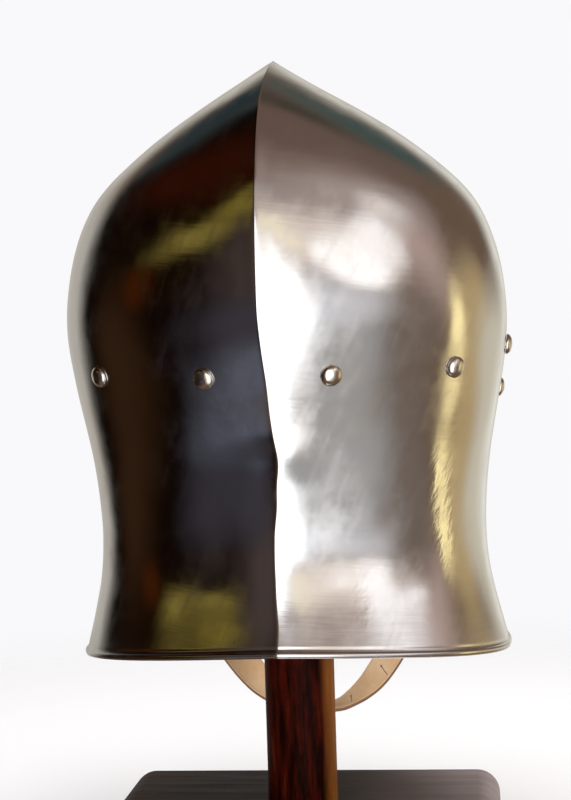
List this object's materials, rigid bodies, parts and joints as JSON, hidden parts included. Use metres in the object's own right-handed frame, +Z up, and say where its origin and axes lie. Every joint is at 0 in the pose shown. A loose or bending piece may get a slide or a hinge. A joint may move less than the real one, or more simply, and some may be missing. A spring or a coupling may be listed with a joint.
{
  "type": "barbute helmet on a plain wooden stand",
  "caption": "Open-faced steel helmet with a central keel, pointed crown, flared foot, T-shaped face opening and leather chin strap, on a round wooden post with a rounded rectangular board.",
  "frame": {"origin": "middle of the underside of the stand's board, below the middle of the helmet", "axes": "+Z up; the face opening looks along -Y and the nape along +Y; the wearer's left is +X"},
  "size_m": [0.221, 0.2509, 0.391],
  "materials": {
    "skull_steel": "polished by hand, with fine brushed scratches, faint hammer marks and slight brown toning",
    "rivet_steel": "domed heads, polished, slightly bronze-toned",
    "strap_leather": "undyed vegetable-tanned leather, matt, with darker cut edges and awl marks",
    "post_wood": "turned, dark red-brown stain under a satin varnish",
    "board_wood": "dark brown stain under a satin varnish"
  },
  "bodies": {
    "root": {"skull": "skull_steel", "lining_rivet_left_1": "rivet_steel", "lining_rivet_left_2": "rivet_steel", "lining_rivet_left_3": "rivet_steel", "lining_rivet_left_4": "rivet_steel", "lining_rivet_left_5": "rivet_steel", "lining_rivet_right_1": "rivet_steel", "lining_rivet_right_2": "rivet_steel", "lining_rivet_right_3": "rivet_steel", "lining_rivet_right_4": "rivet_steel", "lining_rivet_right_5": "rivet_steel", "strap_rivet_left": "rivet_steel", "strap_rivet_right": "rivet_steel", "chin_strap": "strap_leather", "stand_post": "post_wood", "stand_base": "board_wood"}
  },
  "joints": []
}
